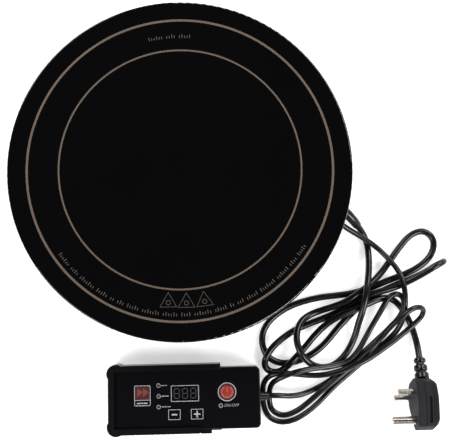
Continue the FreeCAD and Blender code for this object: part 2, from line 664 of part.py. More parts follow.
def key_cap(space_of):
    """A key: a cap through the panel, a retaining flange under the top plate and a foot."""
    cap = space_of(0.0, TOP_PLATE_Z - 0.4, TOP_Z + PANEL_T + KEY_PROUD)
    flange = space_of(0.9, KEY_FOOT_Z, TOP_PLATE_Z - 0.2)
    return fused([cap, flange])


def square_key(key):
    """A rectangular key."""
    return key_cap(lambda grow, z0, z1: square_key_space(key, grow, z0, z1))


def indicator_leds():
    """Four small lamps that show through the panel."""
    return Part.makeCompound([rod(LED_R, x, y, BOARD2_TOP, TOP_Z + PANEL_T) for x, y in LED_SPOTS])


def buzzer():
    """Sounder on the control board."""
    return ring(1.0, 4.5, BOARD2_TOP, BOARD2_TOP + 5, 46, -13)


def control_screws():
    """Four screws from the back of the controller."""
    return Part.makeCompound([screw(2.4, 1.6, 1.0, 9.5, x, y, 4.6, True) for x, y in CONTROL_SCREWS])


def control_relief():
    """Cable gland clamped between the two halves of the controller."""
    pieces = [gland_rod(4.6, END_X - 3.4, END_X - CONTROL_WALL), gland_rod(3.5, END_X - 3, END_X + 0.5)]
    pieces.append(Part.makeCone(4.4, 3.2, 8.0, V(END_X, 0, GLAND_Z), V(1, 0, 0)))
    return fused(pieces)


# ---- mounting bracket ---------------------------------------------------------------------------
LIP_Z = CONTROL_Z + CONTROL_H + KEY_PROUD + 0.3
LIP_T = 2.0
LIP_IN = 2.6
BRACKET_TOP = LIP_Z + LIP_T
BRACKET_X0 = CONTROL_X - CONTROL_L / 2 - SLIDE_GAP - BRACKET_WALL
BRACKET_X1 = BRACKET_X0 + BRACKET_L
BRACKET_SCREW_R = 2.1
BRACKET_SCREWS = [(BRACKET_X0 + 18.0, 0.0), (BRACKET_X0 + 78.0, 0.0)]
SHORT_RAIL = 19.0         # the front rail's lip stops this much before the rear one's
LATCH_L = 10.5


def mounting_bracket():
    """Screw-on tray that the controller slides out of, with two lipped rails and a closed end."""
    half = BRACKET_HALF_W
    outer = block(BRACKET_X0, BRACKET_X1, -half, half, 0, BRACKET_TOP)
    pads = []
    for side in (-1, 1):
        x = BRACKET_X0 - BRACKET_PAD_OUT + BRACKET_PAD_R
        y = side * (half + BRACKET_PAD_OUT - BRACKET_PAD_R)
        pads.append(rod(BRACKET_PAD_R, x, y, 0, BRACKET_TOP))
        corner = block(BRACKET_X0 - 1, x, min(y, side * (half + 1)), max(y, side * (half + 1)), -1, BRACKET_TOP + 1)
        outer = outer.cut(corner)
    outer = fused([outer] + pads)
    outer = outer.makeFillet(1.0, edges_at(outer, BRACKET_TOP))
    slot = block(BRACKET_X0 + BRACKET_WALL, BRACKET_X1 + 1, -HALF_SLOT, HALF_SLOT, BRACKET_BASE, LIP_Z)
    mouth = block(BRACKET_X0 + BRACKET_WALL + LIP_IN, BRACKET_X1 + 1, -HALF_SLOT + LIP_IN, HALF_SLOT - LIP_IN,
                  LIP_Z - 1, BRACKET_TOP + 1)
    tray = outer.cut(slot).cut(mouth)
    stop = BRACKET_X1 - SHORT_RAIL
    tray = tray.cut(block(stop, BRACKET_X1 + 1, -half - 1, -HALF_SLOT + LIP_IN + 1, LIP_Z - 3, BRACKET_TOP + 1))
    tray = tray.cut(block(stop + LATCH_L, BRACKET_X1 + 1, -half - 1, -HALF_SLOT, BRACKET_BASE, BRACKET_TOP + 1))
    nub = block(stop + 1, stop + LATCH_L, -half - 0.6, -half + 0.5, 8, LIP_Z - 3)
    tray = fused([tray, nub])
    for x, y in BRACKET_SCREWS:
        tray = tray.cut(rod(BRACKET_SCREW_R, x, y, -1, BRACKET_BASE + 1))
        tray = tray.cut(rod(4.3, x, y, 1.4, BRACKET_BASE + 1))
    return tray


# ---- plug ---------------------------------------------------------------------------------------
PLUG_T = 18.4             # at its thickest
PLUG_ROLL = 20.0          # the plug lies tipped, with its cord end low
CORD_OFF_FACE = 10.25     # cord's axis to pin face
RELIEF_START = 12.2
RELIEF_END = 33.5
PIN_ROOT = 8.0
# Corners of the half outline seen from the pins, and of the profile seen from the side: (y, z or x, radius).
PLUG_OUTLINE = [(RELIEF_START, 8.0, 1.5), (5.8, 19.5, 6.5), (-8.5, 19.5, 16.0), (-29.6, 9.2, 6.0)]
PLUG_BACK = [(RELIEF_START + 6, 13.6, 0), (3.0, PLUG_T - 0.6, 14.0), (-25.6, PLUG_T, 9.0), (-30.6, 14.6, 0)]
PLUG_SEAM = (6.6, 0.5, 0.35)            # its distance from the pin face, width and depth
PLUG_RIBS = (13.0, 1.5, 3)              # where the grip's first groove is, their pitch and number
PLUG_GROOVE = (9.2, 2.6, -27.0, -7.0, 1.3)  # finger groove: start, width, from and to along Y, and depth
PLUG_GRIPS = ((12.4, 7.0, 6.4), (20.2, 6.2, 6.0), (27.8, 4.8, 5.4))   # start, length and radius of each


def corner_points(corners, y_sign=1):
    return [V(0, y, y_sign * z) for y, z, _ in corners]


def plug_outline(shrink, x0, x1):
    """A slice of the plug's outline prism from x0 to x1, made smaller all round by shrink."""
    half = [(y - shrink if y > 0 else y + shrink, z - shrink, r) for y, z, r in PLUG_OUTLINE]
    outline = corner_points(half) + corner_points(half, -1)[::-1]
    prism = Part.Face(Part.makePolygon(outline + outline[:1])).extrude(V(PLUG_T + 2, 0, 0))
    for y, z, radius in half:
        at_corner = [e for e in prism.Edges if abs(e.Length - PLUG_T - 2) < 1e-6
                     and abs(e.CenterOfMass.y - y) < 1e-6 and abs(abs(e.CenterOfMass.z) - z) < 1e-6]
        prism = prism.makeFillet(radius, at_corner)
    return prism.common(block(x0, x1, -60, 60, -30, 30))


def plug_profile():
    """The plug's thickness seen from the side: flat at the pins and gently crowned at the back."""
    back = [V(x, y, -30) for y, x, _ in PLUG_BACK]
    edge = [V(0, PLUG_BACK[0][0], -30)] + back + [V(0, PLUG_BACK[-1][0], -30)]
    prism = Part.Face(Part.makePolygon(edge + edge[:1])).extrude(V(0, 0, 60))
    for y, x, radius in PLUG_BACK[1:3]:
        at_corner = [e for e in prism.Edges if abs(e.Length - 60) < 1e-6
                     and abs(e.CenterOfMass.y - y) < 1e-6 and abs(e.CenterOfMass.x - x) < 1e-6]
        prism = prism.makeFillet(radius, at_corner)
    return prism


def plug_body():
    """Moulded body. Its pin face is at x = 0, the cord leaves along +Y and the earth pin is at -Y."""
    body = plug_outline(0, 0, PLUG_T + 1).common(plug_profile())
    body = body.makeFillet(1.0, [e for e in body.Edges if e.BoundBox.XMax < 1e-6])
    back_rim = [e for e in body.Edges if e.BoundBox.XMin > 11.0 and e.BoundBox.ZLength < 20.0]
    body = body.makeFillet(2.4, back_rim)
    start, width, depth = PLUG_SEAM
    body = body.cut(plug_outline(-1, start, start + width).cut(plug_outline(depth, start, start + width)))
    first, pitch, count = PLUG_RIBS
    for x in [first + pitch * i for i in range(count)]:
        groove = plug_outline(-1, x, x + 0.6).cut(plug_outline(0.35, x, x + 0.6))
        body = body.cut(groove.common(block(x, x + 0.6, -25, 3, -30, 30)))
    start, width, y0, y1, depth = PLUG_GROOVE
    groove = plug_outline(-1, start, start + width).cut(plug_outline(depth, start, start + width))
    body = body.cut(groove.common(block(start, start + width, y0, y1, -30, 30)))
    return body


def pin(radius, length, y, z):
    """A round brass pin with a rounded tip, seated in the body."""
    raw = Part.makeCylinder(radius, length + PIN_ROOT, V(-length, y, z), V(1, 0, 0))
    tip = [e for e in raw.Edges if e.BoundBox.XMax < -length + 1e-6]
    return raw.makeFillet(radius * 0.42, tip)


def plug_relief():
    """Strain relief with three grip rings."""
    axis = V(0, 1, 0)
    pieces = [Part.makeCone(4.3, 3.3, RELIEF_END - RELIEF_START, V(CORD_OFF_FACE, RELIEF_START, 0), axis)]
    for start, length, radius in PLUG_GRIPS:
        grip = Part.makeCylinder(radius, length, V(CORD_OFF_FACE, start, 0), axis)
        pieces.append(grip.makeFillet(2.1, [e for e in grip.Edges if len(e.Vertexes) == 1]))
    return fused(pieces)


def place_plug(shapes):
    """Tip the plug over and bring the end of its strain relief to the end of the mains lead."""
    turn = FreeCAD.Placement(V(0, 0, 0), FreeCAD.Rotation(V(1, 0, 0), -PLUG_ROLL))
    end = turn.multVec(V(CORD_OFF_FACE, RELIEF_END, 0))
    for shape in shapes:
        shape.Placement = turn
        shape.translate(V(*MAINS_ROUTE[-1]) - end)
    print("plug rests at height %.3f" % min(shape.BoundBox.ZMin for shape in shapes))


# ---- build --------------------------------------------------------------------------------------
def build_cooker():
    """All pieces of the cooker, made about the Z axis and moved to its place."""
    mains_relief = cooker_relief(MAINS_SIDE, 4.9, 6.6, 5.4, 4.0, MAINS_ROUTE)
    cable_relief = cooker_relief(CABLE_SIDE, 3.9, 5.4, 4.4, 3.2, CABLE_ROUTE)
    pieces = {
        "glass_plate": glass_plate(),
        "rim_gasket": rim_gasket(),
        "upper_housing": upper_housing(),
        "lower_housing": lower_housing(),
        "feet": feet(),
        "housing_screws": housing_screws(),
        "coil_former": coil_former(),
        "litz_coil": litz_coil(),
        "ferrite_bars": ferrite_bars(),
        "mica_sheet": ring(12.5, COIL_R_OUT + 3, MICA_Z, MICA_Z + MICA_T),
        "insulation_pad": ring(16.0, COIL_R_OUT, MICA_Z + MICA_T, GLASS_Z),
        "thermistor": thermistor(),
        "main_board": main_board(),
        "heat_sink": heat_sink(),
        "power_packages": power_packages(),
        "film_capacitors": film_capacitors(),
        "choke": choke(),
        "electrolytic_capacitor": electrolytic_capacitor(),
        "terminal_block": terminal_block(),
        "board_screws": board_screws(),
        "fan_frame": fan_frame(),
        "fan_rotor": fan_rotor(),
        "fan_screws": fan_screws(),
        "mains_strain_relief": mains_relief,
        "cable_strain_relief": cable_relief,
    }
    for name, shape in pieces.items():
        shape.translate(COOKER)
        save(shape, name)


def build_controller():
    """All pieces of the controller, made about its own underside and moved to its place."""
    pieces = {
        "controller_rear_case": fused([rear_case()] + board_supports()),
        "controller_front_case": front_case(),
        "panel_sheet": panel_sheet(),
        "display_window": display_window(),
        "digit_display": digit_display(),
        "control_board": control_board(),
        "tact_switches": tact_switches(),
        "indicator_leds": indicator_leds(),
        "buzzer": buzzer(),
        "mode_key": square_key(MODE_KEY),
        "minus_key": square_key(MINUS_KEY),
        "plus_key": square_key(PLUS_KEY),
        "power_key": key_cap(round_key_space),
        "controller_screws": control_screws(),
        "controller_cable_relief": control_relief(),
    }
    for name, shape in pieces.items():
        shape.translate(CONTROL)
        save(shape, name)
    bracket = mounting_bracket()
    bracket.translate(V(0, CONTROL_Y, 0))
    save(bracket, "mounting_bracket")


def build_plug():
    """The plug with its three pins and strain relief."""
    earth = pin(EARTH_PIN_R, EARTH_PIN_L, -EARTH_OFFSET, 0)
    line = pin(LINE_PIN_R, LINE_PIN_L, 0, LINE_SPACING / 2)
    neutral = pin(LINE_PIN_R, LINE_PIN_L, 0, -LINE_SPACING / 2)
    body = plug_body().cut(earth).cut(line).cut(neutral)
    relief = plug_relief()
    place_plug([body, earth, line, neutral, relief])
    names = ("plug_body", "earth_pin", "line_pin", "neutral_pin", "plug_strain_relief")
    for shape, name in zip((body, earth, line, neutral, relief), names):
        save(shape, name)


def build_cords():
    """The two free cords, as plain tubes."""
    save(cord_tube(MAINS_ROUTE, MAINS_D, "mains cord"), "mains_cord")
    save(cord_tube(CABLE_ROUTE, CABLE_D, "control cable"), "control_cable")


build_cooker()
build_controller()
build_plug()
build_cords()
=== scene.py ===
import math

import bmesh
import bpy
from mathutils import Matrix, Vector


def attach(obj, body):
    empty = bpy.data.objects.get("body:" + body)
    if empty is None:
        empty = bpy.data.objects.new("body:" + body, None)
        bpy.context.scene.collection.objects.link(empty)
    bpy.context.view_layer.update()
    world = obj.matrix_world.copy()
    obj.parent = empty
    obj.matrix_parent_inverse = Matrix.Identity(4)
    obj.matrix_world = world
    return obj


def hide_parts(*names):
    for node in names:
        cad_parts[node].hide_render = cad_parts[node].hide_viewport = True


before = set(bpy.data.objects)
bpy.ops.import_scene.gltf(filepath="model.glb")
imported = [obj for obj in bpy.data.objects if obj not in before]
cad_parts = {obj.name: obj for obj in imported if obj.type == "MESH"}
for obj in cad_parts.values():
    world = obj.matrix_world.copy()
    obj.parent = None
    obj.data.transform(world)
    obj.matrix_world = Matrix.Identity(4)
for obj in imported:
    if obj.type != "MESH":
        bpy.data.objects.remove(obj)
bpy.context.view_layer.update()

MM = 0.001
COOKER = (0.0, 0.039825)            # centre of the glass, m
PANEL = (-0.0004, -0.153275)        # centre of the controller, m
GLASS_TOP = 0.070                   # heights of the printed surfaces, m
PANEL_TOP = 0.0227
KEY_TOP = 0.0229

# ---- camera and cords --------------------------------------------------------------------------

CAMERA_AT = (0.02802, -0.08770, 0.73707)
CAMERA_TURN = (6.96, -0.84, -1.40)  # degrees about X, Y and Z
LENS_MM, SENSOR_MM = 63.84, 36.0
NEAREST, FARTHEST = 0.01, 20.0      # what the camera sees, m

MAINS_DIAMETER, MAINS_LENGTH = 0.006, 1.17
CABLE_DIAMETER, CABLE_LENGTH = 0.005, 1.00
STEPS_ALONG = 10                    # in a cord's curve from one route point to the next
ROUNDNESS = 5                       # of a cord, as the curve's bevel resolution

MAINS_ROUTE = [
    (0.155, -0.005, 0.014), (0.161, -0.0105, 0.006), (0.1655, -0.021, 0.003),
    (0.166, -0.033, 0.005), (0.1645, -0.045, 0.0105), (0.162, -0.0565, 0.0165),
    (0.1595, -0.069, 0.0185), (0.1565, -0.0815, 0.016), (0.153, -0.0925, 0.0105),
    (0.1505, -0.1035, 0.0055), (0.1455, -0.1145, 0.003), (0.138, -0.124, 0.003),
    (0.1285, -0.13, 0.004), (0.1175, -0.1305, 0.0075), (0.108, -0.1265, 0.012),
    (0.1005, -0.118, 0.016), (0.097, -0.1075, 0.0155), (0.098, -0.0975, 0.0125),
    (0.1025, -0.089, 0.0075), (0.111, -0.0835, 0.004), (0.1215, -0.08, 0.0035),
    (0.1325, -0.077, 0.007), (0.144, -0.0725, 0.011), (0.1555, -0.065, 0.012),
    (0.167, -0.057, 0.0085), (0.1775, -0.047, 0.0045), (0.1865, -0.0355, 0.003),
    (0.195, -0.0245, 0.003), (0.203, -0.0155, 0.003), (0.2115, -0.011, 0.003),
    (0.219, -0.011, 0.003), (0.2245, -0.0155, 0.003), (0.2265, -0.022, 0.003),
    (0.2245, -0.0305, 0.003), (0.2175, -0.039, 0.003), (0.2065, -0.046, 0.003),
    (0.194, -0.051, 0.003), (0.1805, -0.0555, 0.003), (0.167, -0.061, 0.003),
    (0.153, -0.065, 0.003), (0.1385, -0.067, 0.003), (0.124, -0.068, 0.003),
    (0.11, -0.0705, 0.003), (0.096, -0.0745, 0.003), (0.084, -0.0805, 0.003),
    (0.0735, -0.089, 0.003), (0.0675, -0.0995, 0.003), (0.0675, -0.111, 0.003),
    (0.0725, -0.121, 0.003), (0.082, -0.126, 0.003), (0.093, -0.126, 0.003),
    (0.1045, -0.1225, 0.003), (0.1155, -0.1165, 0.003), (0.125, -0.1085, 0.003),
    (0.1335, -0.0985, 0.003), (0.143, -0.0885, 0.003), (0.154, -0.079, 0.003),
    (0.1655, -0.0695, 0.003), (0.1785, -0.0635, 0.003), (0.192, -0.058, 0.003),
    (0.205, -0.0535, 0.003), (0.2165, -0.0485, 0.003), (0.2255, -0.043, 0.003),
    (0.231, -0.04, 0.007), (0.232, -0.039, 0.0135), (0.228, -0.041, 0.0185),
    (0.221, -0.0445, 0.02), (0.212, -0.05, 0.016), (0.2015, -0.0555, 0.0115),
    (0.189, -0.061, 0.0095), (0.175, -0.0645, 0.01), (0.161, -0.0685, 0.009),
    (0.1485, -0.075, 0.0055), (0.136, -0.082, 0.003), (0.123, -0.0875, 0.003),
    (0.1095, -0.092, 0.003), (0.097, -0.097, 0.0035), (0.086, -0.1035, 0.006),
    (0.0765, -0.111, 0.0095), (0.07, -0.1195, 0.01), (0.0685, -0.1275, 0.0065),
    (0.073, -0.133, 0.004), (0.0805, -0.134, 0.005), (0.088, -0.1295, 0.0095),
    (0.096, -0.1215, 0.01), (0.105, -0.1125, 0.0075), (0.114, -0.1025, 0.0055),
    (0.124, -0.093, 0.0065), (0.1365, -0.0855, 0.009), (0.1495, -0.08, 0.01),
    (0.1625, -0.0755, 0.0095), (0.1745, -0.0705, 0.007), (0.185, -0.071, 0.004),
    (0.1925, -0.0775, 0.003), (0.198, -0.0865, 0.003), (0.202, -0.096, 0.003),
    (0.2045, -0.1055, 0.004), (0.20625, -0.11485, 0.0049), (0.20625, -0.1235, 0.00805),
]
CABLE_ROUTE = [
    (0.1352, -0.001, 0.023), (0.1435, -0.007, 0.017), (0.1535, -0.0125, 0.013),
    (0.163, -0.018, 0.0105), (0.1725, -0.0245, 0.008), (0.1805, -0.0325, 0.008),
    (0.1875, -0.0415, 0.011), (0.1925, -0.0515, 0.015), (0.1945, -0.0635, 0.0175),
    (0.1945, -0.0765, 0.0165), (0.193, -0.089, 0.013), (0.188, -0.1, 0.007),
    (0.179, -0.109, 0.003), (0.168, -0.1175, 0.0025), (0.157, -0.126, 0.0025),
    (0.146, -0.135, 0.0025), (0.135, -0.1435, 0.0025), (0.125, -0.1525, 0.0025),
    (0.1155, -0.162, 0.0025), (0.105, -0.17, 0.0025), (0.094, -0.176, 0.0025),
    (0.0825, -0.178, 0.0025), (0.072, -0.174, 0.0025), (0.067, -0.164, 0.0025),
    (0.0665, -0.1525, 0.0025), (0.0675, -0.1415, 0.005), (0.0745, -0.135, 0.0105),
    (0.0855, -0.134, 0.0135), (0.097, -0.1355, 0.0125), (0.1085, -0.137, 0.0105),
    (0.1205, -0.137, 0.01), (0.132, -0.1345, 0.012), (0.1435, -0.1305, 0.0135),
    (0.155, -0.1265, 0.013), (0.1655, -0.121, 0.011), (0.1755, -0.1145, 0.0095),
    (0.1855, -0.108, 0.0095), (0.1945, -0.101, 0.0095), (0.203, -0.0945, 0.009),
    (0.21, -0.088, 0.01), (0.2115, -0.0815, 0.0135), (0.2055, -0.079, 0.0185),
    (0.197, -0.082, 0.021), (0.1885, -0.0885, 0.019), (0.1805, -0.096, 0.014),
    (0.173, -0.1055, 0.0095), (0.164, -0.1155, 0.008), (0.154, -0.125, 0.0075),
    (0.142, -0.133, 0.008), (0.1305, -0.1415, 0.0085), (0.119, -0.15, 0.0075),
    (0.108, -0.1595, 0.005), (0.097, -0.168, 0.003), (0.084, -0.1725, 0.0025),
    (0.0735, -0.167, 0.0025), (0.072, -0.155, 0.0035), (0.0735, -0.1435, 0.009),
    (0.081, -0.138, 0.0175), (0.093, -0.1335, 0.0205), (0.1065, -0.131, 0.018),
    (0.1195, -0.13, 0.0135), (0.1325, -0.129, 0.01), (0.144, -0.1255, 0.008),
    (0.1525, -0.117, 0.0065), (0.159, -0.107, 0.0045), (0.165, -0.097, 0.004),
    (0.171, -0.087, 0.007), (0.176, -0.078, 0.0105), (0.181, -0.0695, 0.0125),
    (0.189, -0.0665, 0.0125), (0.195, -0.072, 0.011), (0.194, -0.082, 0.0095),
    (0.188, -0.0915, 0.0055), (0.1785, -0.1005, 0.003), (0.168, -0.1095, 0.0025),
    (0.157, -0.119, 0.0025), (0.146, -0.1275, 0.0025), (0.135, -0.1365, 0.0025),
    (0.1235, -0.1445, 0.0025), (0.112, -0.15, 0.0025), (0.1005, -0.154, 0.0045),
    (0.0895, -0.1545, 0.009), (0.08, -0.15327, 0.0125), (0.0716, -0.15327, 0.0125),
]

def add_object(name, data):
    item = bpy.data.objects.new(name, data)
    bpy.context.collection.objects.link(item)
    return item


def add_camera():
    camera = add_object("camera", bpy.data.cameras.new("camera"))
    camera.location = CAMERA_AT
    camera.rotation_euler = [math.radians(a) for a in CAMERA_TURN]
    camera.data.lens = LENS_MM
    camera.data.sensor_width = SENSOR_MM
    camera.data.clip_start, camera.data.clip_end = NEAREST, FARTHEST
    bpy.context.scene.camera = camera


def cord_curve(name, route, diameter):
    """A round cord along one smooth spline, with the route's points as its control points."""
    curve = bpy.data.curves.new(name, "CURVE")
    curve.dimensions = "3D"
    curve.bevel_depth = 1.0         # times each point's radius, which the curve's bounds go by
    curve.bevel_resolution = ROUNDNESS
    curve.resolution_u = STEPS_ALONG
    curve.use_fill_caps = True
    spline = curve.splines.new("NURBS")
    spline.points.add(len(route) - 1)
    for point, at in zip(spline.points, route):
        point.co = (*at, 1.0)
        point.radius = diameter / 2
    spline.order_u = 3
    spline.use_endpoint_u = True
    cord = add_object(name, curve)
    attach(cord, "unit")
    return cord


add_camera()
mains_lead = cord_curve("mains_lead", MAINS_ROUTE, MAINS_DIAMETER)
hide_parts("mains_cord")
control_lead = cord_curve("control_lead", CABLE_ROUTE, CABLE_DIAMETER)
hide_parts("control_cable")

# ---- materials ---------------------------------------------------------------------------------
# colours: the two linear colours that a patch noise mixes
# patch, grain: size of the patches of colour, and of the bumps, mm
# rough: roughness at the bottom and at the top of the bumps
# depth: height of the bumps, mm
# metallic, shine: the shader's metallic and specular levels
# form: what the bumps are: grain, cells, or the turns of the coil
# stretch: how many times longer the grain is in X, Y and Z

FINISHES = {
    "black_glass": dict(
        colours=((.0010, .0010, .0012), (.0016, .0016, .0019)), patch=60,
        rough=(.04, .09), grain=14, depth=0.002),
    "black_foam": dict(
        colours=((.008, .008, .008), (.016, .016, .016)), patch=4,
        rough=(.9, 1), grain=.9, depth=.25, form="cells"),
    "housing_plastic": dict(
        colours=((.009, .009, .0095), (.013, .013, .0135)), patch=35,
        rough=(.45, .62), grain=.8, depth=.03),
    "foot_rubber": dict(
        colours=((.012, .012, .012), (.02, .02, .019)), patch=8,
        rough=(.8, .95), grain=.6, depth=.05),
    "screw_steel": dict(
        colours=((.42, .42, .43), (.55, .55, .56)), patch=3,
        rough=(.25, .42), grain=.25, depth=.01, metallic=1, stretch=(1, 6, 1)),
    "former_plastic": dict(
        colours=((.02, .02, .021), (.03, .03, .031)), patch=25,
        rough=(.5, .7), grain=.9, depth=.03),
    "coil_copper": dict(
        colours=((.42, .13, .04), (.62, .24, .09)), patch=5,
        rough=(.3, .45), grain=1.1, depth=.18, metallic=.9, form="turns"),
    "ferrite": dict(
        colours=((.022, .021, .02), (.04, .038, .036)), patch=3,
        rough=(.6, .8), grain=.5, depth=.04),
    "mica": dict(
        colours=((.42, .33, .2), (.6, .5, .33)), patch=6,
        rough=(.35, .6), grain=3, depth=.02, form="cells"),
    "ceramic_fibre": dict(
        colours=((.62, .6, .55), (.8, .79, .75)), patch=4,
        rough=(.9, 1), grain=.7, depth=.2, stretch=(1, 5, 1)),
    "white_silicone": dict(
        colours=((.6, .6, .58), (.72, .72, .7)), patch=5,
        rough=(.4, .55), grain=.5, depth=.02),
    "circuit_board": dict(
        colours=((.012, .1, .035), (.03, .2, .075)), patch=2.6,
        rough=(.3, .5), grain=1.6, depth=.03, form="cells"),
    "aluminium": dict(
        colours=((.6, .61, .62), (.76, .77, .78)), patch=9,
        rough=(.28, .42), grain=.5, depth=.012, metallic=1, stretch=(1, 1, 9)),
    "black_package": dict(
        colours=((.012, .012, .013), (.022, .022, .023)), patch=4,
        rough=(.5, .65), grain=.3, depth=.015),
    "capacitor_film": dict(
        colours=((.5, .09, .03), (.62, .14, .05)), patch=9,
        rough=(.3, .42), grain=.8, depth=.02),
    "choke_winding": dict(
        colours=((.5, .19, .06), (.68, .3, .11)), patch=3,
        rough=(.25, .4), grain=1, depth=.05, metallic=.8),
    "terminal_plastic": dict(
        colours=((.02, .16, .04), (.04, .24, .07)), patch=6,
        rough=(.4, .55), grain=.5, depth=.02),
    "case_plastic": dict(
        colours=((.0018, .0018, .0020), (.0030, .0030, .0033)), patch=22,
        rough=(.26, .36), grain=.55, depth=.02, shine=.25),
    "panel_print": dict(
        colours=((.0014, .0014, .0022), (.0022, .0022, .0032)), patch=30,
        rough=(.22, .3), grain=.35, depth=.006, shine=.25),
    "smoked_window": dict(
        colours=((.0012, .0012, .0016), (.0020, .0020, .0025)), patch=9,
        rough=(.08, .14), grain=3, depth=.001),
    "digit_face": dict(
        colours=((.012, .012, .013), (.018, .018, .019)), patch=3,
        rough=(.4, .5), grain=.5, depth=.01),
    "led_lens": dict(
        colours=((.02, .018, .02), (.035, .03, .034)), patch=1,
        rough=(.18, .3), grain=.4, depth=.01),
    "key_plastic": dict(
        colours=((.0014, .0014, .0022), (.0022, .0022, .0032)), patch=6,
        rough=(.22, .3), grain=.35, depth=.008, shine=.25),
    "power_key_red": dict(
        colours=((.21, .016, .008), (.31, .028, .014)), patch=3,
        rough=(.3, .4), grain=.4, depth=.01),
    "bracket_plastic": dict(
        colours=((.0014, .0014, .0016), (.0030, .0030, .0032)), patch=18,
        rough=(.26, .38), grain=.6, depth=.025, shine=.25),
    "cord_rubber": dict(
        colours=((.0012, .0012, .0013), (.0032, .0032, .0034)), patch=14,
        rough=(.2, .32), grain=.9, depth=.02, shine=.38),
    "plug_plastic": dict(
        colours=((.0100, .0100, .0122), (.0165, .0165, .0195)), patch=7,
        rough=(.55, .72), grain=.5, depth=.02, shine=.12),
    "pin_metal": dict(
        colours=((.44, .385, .35), (.58, .53, .49)), patch=5,
        rough=(.2, .3), grain=.9, depth=.002, metallic=1, stretch=(8, 1, 1)),
    "gold_print": dict(
        colours=((.075, .053, .038), (.11, .077, .056)), patch=6,
        rough=(.38, .55), grain=.5, depth=.004),
    "faint_print": dict(
        colours=((.05, .038, .03), (.085, .066, .052)), patch=3,
        rough=(.45, .6), grain=.5, depth=.004),
    "white_print": dict(
        colours=((.27, .27, .29), (.38, .38, .40)), patch=3,
        rough=(.45, .6), grain=.4, depth=.004),
    "grey_print": dict(
        colours=((.018, .018, .020), (.032, .032, .034)), patch=1.5,
        rough=(.45, .6), grain=.4, depth=.004),
    "red_print": dict(
        colours=((.035, .003, .004), (.065, .006, .007)), patch=4,
        rough=(.35, .5), grain=.4, depth=.004),
    "dark_red_print": dict(
        colours=((.022, .003, .003), (.04, .005, .005)), patch=3,
        rough=(.35, .5), grain=.4, depth=.004),
    "arrow_print": dict(
        colours=((.10, .02, .018), (.19, .045, .04)), patch=4,
        rough=(.35, .5), grain=.4, depth=.004),
    "salmon_print": dict(
        colours=((.20, .06, .05), (.30, .11, .09)), patch=2.5,
        rough=(.4, .55), grain=.4, depth=.004),
}
PATCH_DETAIL, GRAIN_DETAIL = 4, 3
WAVE_RING = 0.314                   # from ring to ring of the wave texture when its scale is 1
WAVE_WOBBLE = 0.4


def finish_material(name, colours, patch, rough, grain, depth, metallic=0.0, form="grain",
                    stretch=(1, 1, 1), shine=0.5):
    """A node material: patchy colour, and bumps that the roughness goes with."""
    material = bpy.data.materials.new("finish_" + name)
    material.use_nodes = True
    nodes, links = material.node_tree.nodes, material.node_tree.links
    shader = nodes["Principled BSDF"]
    shader.inputs["Metallic"].default_value = metallic
    shader.inputs["Specular IOR Level"].default_value = shine
    place = nodes.new("ShaderNodeTexCoord")

    def noise(size, detail, longer=(1, 1, 1)):
        """A noise with features of this size in mm, and the place vector that it reads."""
        mapping = nodes.new("ShaderNodeMapping")
        mapping.inputs["Scale"].default_value = [1 / times for times in longer]
        links.new(place.outputs["Object"], mapping.inputs["Vector"])
        texture = nodes.new("ShaderNodeTexNoise")
        texture.inputs["Scale"].default_value = 1 / (size * MM)
        texture.inputs["Detail"].default_value = detail
        links.new(mapping.outputs["Vector"], texture.inputs["Vector"])
        return texture.outputs["Fac"], mapping.outputs["Vector"]

    patches, _ = noise(patch, PATCH_DETAIL)
    mix = nodes.new("ShaderNodeMix")
    mix.data_type = "RGBA"
    links.new(patches, mix.inputs["Factor"])
    mix.inputs["A"].default_value = (*colours[0], 1)
    mix.inputs["B"].default_value = (*colours[1], 1)
    links.new(mix.outputs["Result"], shader.inputs["Base Color"])

    height, vector = noise(grain, GRAIN_DETAIL, stretch)
    if form == "cells":
        cells = nodes.new("ShaderNodeTexVoronoi")
        cells.inputs["Scale"].default_value = 1 / (grain * MM)
        links.new(vector, cells.inputs["Vector"])
        height = cells.outputs["Distance"]
    elif form == "turns":
        turns = nodes.new("ShaderNodeTexWave")
        turns.wave_type, turns.rings_direction = "RINGS", "Z"
        turns.inputs["Scale"].default_value = WAVE_RING / (grain * MM)
        turns.inputs["Distortion"].default_value = WAVE_WOBBLE
        middle = nodes.new("ShaderNodeVectorMath")
        middle.operation = "SUBTRACT"
        middle.inputs[1].default_value = (*COOKER, 0)
        links.new(place.outputs["Object"], middle.inputs[0])
        links.new(middle.outputs["Vector"], turns.inputs["Vector"])
        height = turns.outputs["Fac"]

    spread = nodes.new("ShaderNodeMapRange")
    spread.inputs["To Min"].default_value, spread.inputs["To Max"].default_value = rough
    links.new(height, spread.inputs["Value"])
    links.new(spread.outputs["Result"], shader.inputs["Roughness"])
    bump = nodes.new("ShaderNodeBump")
    bump.inputs["Strength"].default_value = 1.0
    bump.inputs["Distance"].default_value = depth * MM
    links.new(height, bump.inputs["Height"])
    links.new(bump.outputs["Normal"], shader.inputs["Normal"])
    return material


MATERIALS = {name: finish_material(name, **facts) for name, facts in FINISHES.items()}

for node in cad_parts.values():
    for slot in node.material_slots:
        slot.material = MATERIALS[slot.material.name.split(".")[0]]
for lead in (mains_lead, control_lead):
    lead.data.materials.append(MATERIALS["cord_rubber"])

# ---- printed marks: thin prisms on the glass, the panel and the keys ---------------------------
# Their figures are in mm, from the centre of the glass or of the controller.

INK = 0.03 * MM                     # how far the print stands proud
SUNK = 0.02 * MM                    # how far it goes into the surface under it


def circle(x, y, radius, count):
    """The outline of a circle, counter-clockwise, as all outlines are."""
    angles = [2 * math.pi * i / count for i in range(count)]
    return [(x + radius * math.cos(a), y + radius * math.sin(a)) for a in angles]


